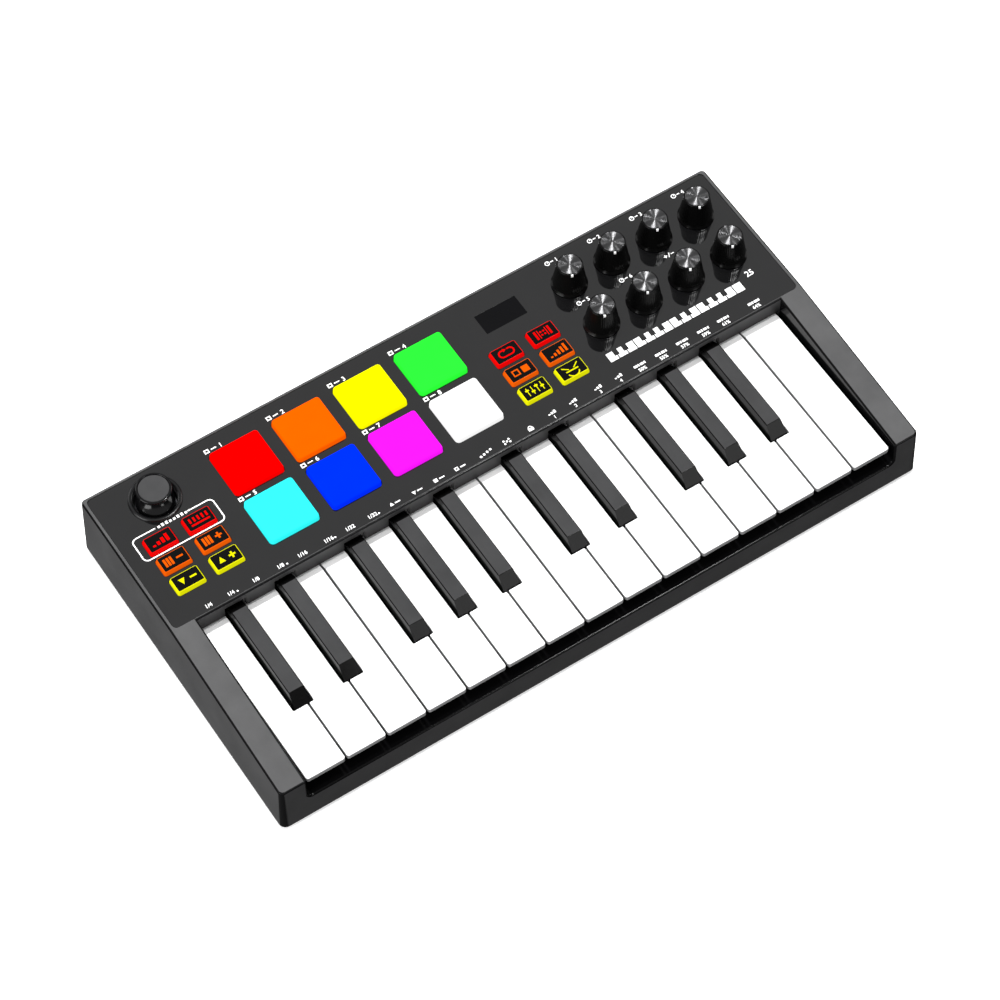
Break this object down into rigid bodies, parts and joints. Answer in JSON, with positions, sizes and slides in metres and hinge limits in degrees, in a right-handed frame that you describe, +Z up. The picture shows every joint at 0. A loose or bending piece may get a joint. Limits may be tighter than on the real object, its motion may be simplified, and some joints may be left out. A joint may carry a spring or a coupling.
{
  "type": "midi keyboard",
  "caption": "Compact USB music controller: slim piano keys that pivot, coloured velocity pads, rotary knobs, lit buttons, a small display and a self-centring thumb joystick.",
  "frame": {"origin": "on the table, in the middle of the box around the whole keyboard, at the bottom of the feet", "axes": "+X towards the high keys, +Y towards the rear wall with the sockets, +Z up"},
  "size_m": [0.326, 0.1668, 0.0511],
  "materials": {
    "shell_plastic": "fine spark-eroded satin",
    "panel_plastic": "smooth satin overlay that mirrors the controls softly",
    "print_white": "screen print",
    "display_lens": "polished",
    "white_key_plastic": "semi-gloss",
    "black_key_plastic": "satin top, glossy sides",
    "pad_silicone": "matte",
    "pad_red": "matte, lit from below",
    "pad_orange": "matte, lit from below",
    "pad_yellow": "matte, lit from below",
    "pad_green": "matte, lit from below",
    "pad_cyan": "matte, lit from below",
    "pad_blue": "matte, lit from below",
    "pad_magenta": "matte, lit from below",
    "pad_white": "matte, lit from below",
    "button_red": "translucent, backlit",
    "button_orange": "translucent, backlit",
    "button_yellow": "translucent, backlit",
    "button_black": "painted over, with a lasered symbol",
    "knob_plastic": "polished, finely knurled",
    "knob_aluminium": "radially brushed",
    "stick_plastic": "polished, with a matte dished cap",
    "gimbal_plastic": "as moulded",
    "chassis_plastic": "as moulded",
    "cover_plastic": "spark-eroded",
    "foot_rubber": "matte",
    "screw_steel": "blackened",
    "socket_metal": "nickel plated",
    "socket_plastic": "as moulded",
    "circuit_board": "solder mask",
    "board_parts": "as moulded",
    "contact_rubber": "matte"
  },
  "bodies": {
    "case": {"top_housing": "shell_plastic", "bottom_cover": "cover_plastic", "rubber_feet": "foot_rubber", "screws": "screw_steel", "control_panel": "panel_plastic", "pad_mat": "pad_silicone", "display_module": "display_lens", "control_board": "circuit_board", "board_parts": "board_parts", "key_frame": "chassis_plastic", "key_board": "circuit_board", "key_contact_rubber": "contact_rubber", "rear_sockets": "socket_plastic"},
    "joystick_yoke": {"joystick_yoke": "gimbal_plastic"},
    "joystick_stick": {"joystick_stick": "stick_plastic"},
    "button_01": {"button_01": "button_red"},
    "button_02": {"button_02": "button_red"},
    "button_03": {"button_03": "button_red"},
    "button_04": {"button_04": "button_red"},
    "button_05": {"button_05": "button_orange"},
    "button_06": {"button_06": "button_orange"},
    "button_07": {"button_07": "button_orange"},
    "button_08": {"button_08": "button_orange"},
    "button_09": {"button_09": "button_yellow"},
    "button_10": {"button_10": "button_yellow"},
    "button_11": {"button_11": "button_yellow"},
    "button_12": {"button_12": "button_yellow"},
    "knob_1": {"knob_1": "knob_plastic"},
    "knob_2": {"knob_2": "knob_plastic"},
    "knob_3": {"knob_3": "knob_plastic"},
    "knob_4": {"knob_4": "knob_plastic"},
    "knob_5": {"knob_5": "knob_plastic"},
    "knob_6": {"knob_6": "knob_plastic"},
    "knob_7": {"knob_7": "knob_plastic"},
    "knob_8": {"knob_8": "knob_plastic"},
    "white_key_01": {"white_key_01": "white_key_plastic"},
    "white_key_02": {"white_key_02": "white_key_plastic"},
    "white_key_03": {"white_key_03": "white_key_plastic"},
    "white_key_04": {"white_key_04": "white_key_plastic"},
    "white_key_05": {"white_key_05": "white_key_plastic"},
    "white_key_06": {"white_key_06": "white_key_plastic"},
    "white_key_07": {"white_key_07": "white_key_plastic"},
    "white_key_08": {"white_key_08": "white_key_plastic"},
    "white_key_09": {"white_key_09": "white_key_plastic"},
    "white_key_10": {"white_key_10": "white_key_plastic"},
    "white_key_11": {"white_key_11": "white_key_plastic"},
    "white_key_12": {"white_key_12": "white_key_plastic"},
    "white_key_13": {"white_key_13": "white_key_plastic"},
    "white_key_14": {"white_key_14": "white_key_plastic"},
    "white_key_15": {"white_key_15": "white_key_plastic"},
    "black_key_01": {"black_key_01": "black_key_plastic"},
    "black_key_02": {"black_key_02": "black_key_plastic"},
    "black_key_03": {"black_key_03": "black_key_plastic"},
    "black_key_04": {"black_key_04": "black_key_plastic"},
    "black_key_05": {"black_key_05": "black_key_plastic"},
    "black_key_06": {"black_key_06": "black_key_plastic"},
    "black_key_07": {"black_key_07": "black_key_plastic"},
    "black_key_08": {"black_key_08": "black_key_plastic"},
    "black_key_09": {"black_key_09": "black_key_plastic"},
    "black_key_10": {"black_key_10": "black_key_plastic"}
  },
  "joints": [
    {"name": "white_key_01_hinge", "type": "hinge", "parent": "case", "child": "white_key_01", "pos_m": [0, 0.0125, 0.022], "axis": [1, 0, 0], "range_deg": [0, 2.5], "stiffness_Nm_per_rad": 0.25, "springref_deg": -5.73},
    {"name": "white_key_02_hinge", "type": "hinge", "parent": "case", "child": "white_key_02", "pos_m": [0, 0.0125, 0.022], "axis": [1, 0, 0], "range_deg": [0, 2.5], "stiffness_Nm_per_rad": 0.25, "springref_deg": -5.73},
    {"name": "white_key_03_hinge", "type": "hinge", "parent": "case", "child": "white_key_03", "pos_m": [0, 0.0125, 0.022], "axis": [1, 0, 0], "range_deg": [0, 2.5], "stiffness_Nm_per_rad": 0.25, "springref_deg": -5.73},
    {"name": "white_key_04_hinge", "type": "hinge", "parent": "case", "child": "white_key_04", "pos_m": [0, 0.0125, 0.022], "axis": [1, 0, 0], "range_deg": [0, 2.5], "stiffness_Nm_per_rad": 0.25, "springref_deg": -5.73},
    {"name": "white_key_05_hinge", "type": "hinge", "parent": "case", "child": "white_key_05", "pos_m": [0, 0.0125, 0.022], "axis": [1, 0, 0], "range_deg": [0, 2.5], "stiffness_Nm_per_rad": 0.25, "springref_deg": -5.73},
    {"name": "white_key_06_hinge", "type": "hinge", "parent": "case", "child": "white_key_06", "pos_m": [0, 0.0125, 0.022], "axis": [1, 0, 0], "range_deg": [0, 2.5], "stiffness_Nm_per_rad": 0.25, "springref_deg": -5.73},
    {"name": "white_key_07_hinge", "type": "hinge", "parent": "case", "child": "white_key_07", "pos_m": [0, 0.0125, 0.022], "axis": [1, 0, 0], "range_deg": [0, 2.5], "stiffness_Nm_per_rad": 0.25, "springref_deg": -5.73},
    {"name": "white_key_08_hinge", "type": "hinge", "parent": "case", "child": "white_key_08", "pos_m": [0, 0.0125, 0.022], "axis": [1, 0, 0], "range_deg": [0, 2.5], "stiffness_Nm_per_rad": 0.25, "springref_deg": -5.73},
    {"name": "white_key_09_hinge", "type": "hinge", "parent": "case", "child": "white_key_09", "pos_m": [0, 0.0125, 0.022], "axis": [1, 0, 0], "range_deg": [0, 2.5], "stiffness_Nm_per_rad": 0.25, "springref_deg": -5.73},
    {"name": "white_key_10_hinge", "type": "hinge", "parent": "case", "child": "white_key_10", "pos_m": [0, 0.0125, 0.022], "axis": [1, 0, 0], "range_deg": [0, 2.5], "stiffness_Nm_per_rad": 0.25, "springref_deg": -5.73},
    {"name": "white_key_11_hinge", "type": "hinge", "parent": "case", "child": "white_key_11", "pos_m": [0, 0.0125, 0.022], "axis": [1, 0, 0], "range_deg": [0, 2.5], "stiffness_Nm_per_rad": 0.25, "springref_deg": -5.73},
    {"name": "white_key_12_hinge", "type": "hinge", "parent": "case", "child": "white_key_12", "pos_m": [0, 0.0125, 0.022], "axis": [1, 0, 0], "range_deg": [0, 2.5], "stiffness_Nm_per_rad": 0.25, "springref_deg": -5.73},
    {"name": "white_key_13_hinge", "type": "hinge", "parent": "case", "child": "white_key_13", "pos_m": [0, 0.0125, 0.022], "axis": [1, 0, 0], "range_deg": [0, 2.5], "stiffness_Nm_per_rad": 0.25, "springref_deg": -5.73},
    {"name": "white_key_14_hinge", "type": "hinge", "parent": "case", "child": "white_key_14", "pos_m": [0, 0.0125, 0.022], "axis": [1, 0, 0], "range_deg": [0, 2.5], "stiffness_Nm_per_rad": 0.25, "springref_deg": -5.73},
    {"name": "white_key_15_hinge", "type": "hinge", "parent": "case", "child": "white_key_15", "pos_m": [0, 0.0125, 0.022], "axis": [1, 0, 0], "range_deg": [0, 2.5], "stiffness_Nm_per_rad": 0.25, "springref_deg": -5.73},
    {"name": "black_key_01_hinge", "type": "hinge", "parent": "case", "child": "black_key_01", "pos_m": [0, 0.0125, 0.022], "axis": [1, 0, 0], "range_deg": [0, 2.5], "stiffness_Nm_per_rad": 0.25, "springref_deg": -5.73},
    {"name": "black_key_02_hinge", "type": "hinge", "parent": "case", "child": "black_key_02", "pos_m": [0, 0.0125, 0.022], "axis": [1, 0, 0], "range_deg": [0, 2.5], "stiffness_Nm_per_rad": 0.25, "springref_deg": -5.73},
    {"name": "black_key_03_hinge", "type": "hinge", "parent": "case", "child": "black_key_03", "pos_m": [0, 0.0125, 0.022], "axis": [1, 0, 0], "range_deg": [0, 2.5], "stiffness_Nm_per_rad": 0.25, "springref_deg": -5.73},
    {"name": "black_key_04_hinge", "type": "hinge", "parent": "case", "child": "black_key_04", "pos_m": [0, 0.0125, 0.022], "axis": [1, 0, 0], "range_deg": [0, 2.5], "stiffness_Nm_per_rad": 0.25, "springref_deg": -5.73},
    {"name": "black_key_05_hinge", "type": "hinge", "parent": "case", "child": "black_key_05", "pos_m": [0, 0.0125, 0.022], "axis": [1, 0, 0], "range_deg": [0, 2.5], "stiffness_Nm_per_rad": 0.25, "springref_deg": -5.73},
    {"name": "black_key_06_hinge", "type": "hinge", "parent": "case", "child": "black_key_06", "pos_m": [0, 0.0125, 0.022], "axis": [1, 0, 0], "range_deg": [0, 2.5], "stiffness_Nm_per_rad": 0.25, "springref_deg": -5.73},
    {"name": "black_key_07_hinge", "type": "hinge", "parent": "case", "child": "black_key_07", "pos_m": [0, 0.0125, 0.022], "axis": [1, 0, 0], "range_deg": [0, 2.5], "stiffness_Nm_per_rad": 0.25, "springref_deg": -5.73},
    {"name": "black_key_08_hinge", "type": "hinge", "parent": "case", "child": "black_key_08", "pos_m": [0, 0.0125, 0.022], "axis": [1, 0, 0], "range_deg": [0, 2.5], "stiffness_Nm_per_rad": 0.25, "springref_deg": -5.73},
    {"name": "black_key_09_hinge", "type": "hinge", "parent": "case", "child": "black_key_09", "pos_m": [0, 0.0125, 0.022], "axis": [1, 0, 0], "range_deg": [0, 2.5], "stiffness_Nm_per_rad": 0.25, "springref_deg": -5.73},
    {"name": "black_key_10_hinge", "type": "hinge", "parent": "case", "child": "black_key_10", "pos_m": [0, 0.0125, 0.022], "axis": [1, 0, 0], "range_deg": [0, 2.5], "stiffness_Nm_per_rad": 0.25, "springref_deg": -5.73},
    {"name": "button_01_press", "type": "slide", "parent": "case", "child": "button_01", "axis": [0, 0, -1], "range_m": [0, 0.0008], "stiffness_N_per_m": 600, "springref_m": -0.001},
    {"name": "button_02_press", "type": "slide", "parent": "case", "child": "button_02", "axis": [0, 0, -1], "range_m": [0, 0.0008], "stiffness_N_per_m": 600, "springref_m": -0.001},
    {"name": "button_03_press", "type": "slide", "parent": "case", "child": "button_03", "axis": [0, 0, -1], "range_m": [0, 0.0008], "stiffness_N_per_m": 600, "springref_m": -0.001},
    {"name": "button_04_press", "type": "slide", "parent": "case", "child": "button_04", "axis": [0, 0, -1], "range_m": [0, 0.0008], "stiffness_N_per_m": 600, "springref_m": -0.001},
    {"name": "button_05_press", "type": "slide", "parent": "case", "child": "button_05", "axis": [0, 0, -1], "range_m": [0, 0.0008], "stiffness_N_per_m": 600, "springref_m": -0.001},
    {"name": "button_06_press", "type": "slide", "parent": "case", "child": "button_06", "axis": [0, 0, -1], "range_m": [0, 0.0008], "stiffness_N_per_m": 600, "springref_m": -0.001},
    {"name": "button_07_press", "type": "slide", "parent": "case", "child": "button_07", "axis": [0, 0, -1], "range_m": [0, 0.0008], "stiffness_N_per_m": 600, "springref_m": -0.001},
    {"name": "button_08_press", "type": "slide", "parent": "case", "child": "button_08", "axis": [0, 0, -1], "range_m": [0, 0.0008], "stiffness_N_per_m": 600, "springref_m": -0.001},
    {"name": "button_09_press", "type": "slide", "parent": "case", "child": "button_09", "axis": [0, 0, -1], "range_m": [0, 0.0008], "stiffness_N_per_m": 600, "springref_m": -0.001},
    {"name": "button_10_press", "type": "slide", "parent": "case", "child": "button_10", "axis": [0, 0, -1], "range_m": [0, 0.0008], "stiffness_N_per_m": 600, "springref_m": -0.001},
    {"name": "button_11_press", "type": "slide", "parent": "case", "child": "button_11", "axis": [0, 0, -1], "range_m": [0, 0.0008], "stiffness_N_per_m": 600, "springref_m": -0.001},
    {"name": "button_12_press", "type": "slide", "parent": "case", "child": "button_12", "axis": [0, 0, -1], "range_m": [0, 0.0008], "stiffness_N_per_m": 600, "springref_m": -0.001},
    {"name": "knob_1_turn", "type": "hinge", "parent": "case", "child": "knob_1", "pos_m": [0.0764, 0.0627, 0.037], "axis": [0, 0, 1], "continuous": true},
    {"name": "knob_2_turn", "type": "hinge", "parent": "case", "child": "knob_2", "pos_m": [0.09905, 0.0627, 0.037], "axis": [0, 0, 1], "continuous": true},
    {"name": "knob_3_turn", "type": "hinge", "parent": "case", "child": "knob_3", "pos_m": [0.1217, 0.0627, 0.037], "axis": [0, 0, 1], "continuous": true},
    {"name": "knob_4_turn", "type": "hinge", "parent": "case", "child": "knob_4", "pos_m": [0.14435, 0.0627, 0.037], "axis": [0, 0, 1], "continuous": true},
    {"name": "knob_5_turn", "type": "hinge", "parent": "case", "child": "knob_5", "pos_m": [0.0764, 0.0371, 0.037], "axis": [0, 0, 1], "continuous": true},
    {"name": "knob_6_turn", "type": "hinge", "parent": "case", "child": "knob_6", "pos_m": [0.09905, 0.0371, 0.037], "axis": [0, 0, 1], "continuous": true},
    {"name": "knob_7_turn", "type": "hinge", "parent": "case", "child": "knob_7", "pos_m": [0.1217, 0.0371, 0.037], "axis": [0, 0, 1], "continuous": true},
    {"name": "knob_8_turn", "type": "hinge", "parent": "case", "child": "knob_8", "pos_m": [0.14435, 0.0371, 0.037], "axis": [0, 0, 1], "continuous": true},
    {"name": "joystick_pitch", "type": "hinge", "parent": "case", "child": "joystick_yoke", "pos_m": [-0.1341, 0.0658, 0.0325], "axis": [1, 0, 0], "range_deg": [-18, 18], "stiffness_Nm_per_rad": 0.02},
    {"name": "joystick_roll", "type": "hinge", "parent": "joystick_yoke", "child": "joystick_stick", "pos_m": [-0.1341, 0.0658, 0.0325], "axis": [0, 1, 0], "range_deg": [-18, 18], "stiffness_Nm_per_rad": 0.02}
  ]
}
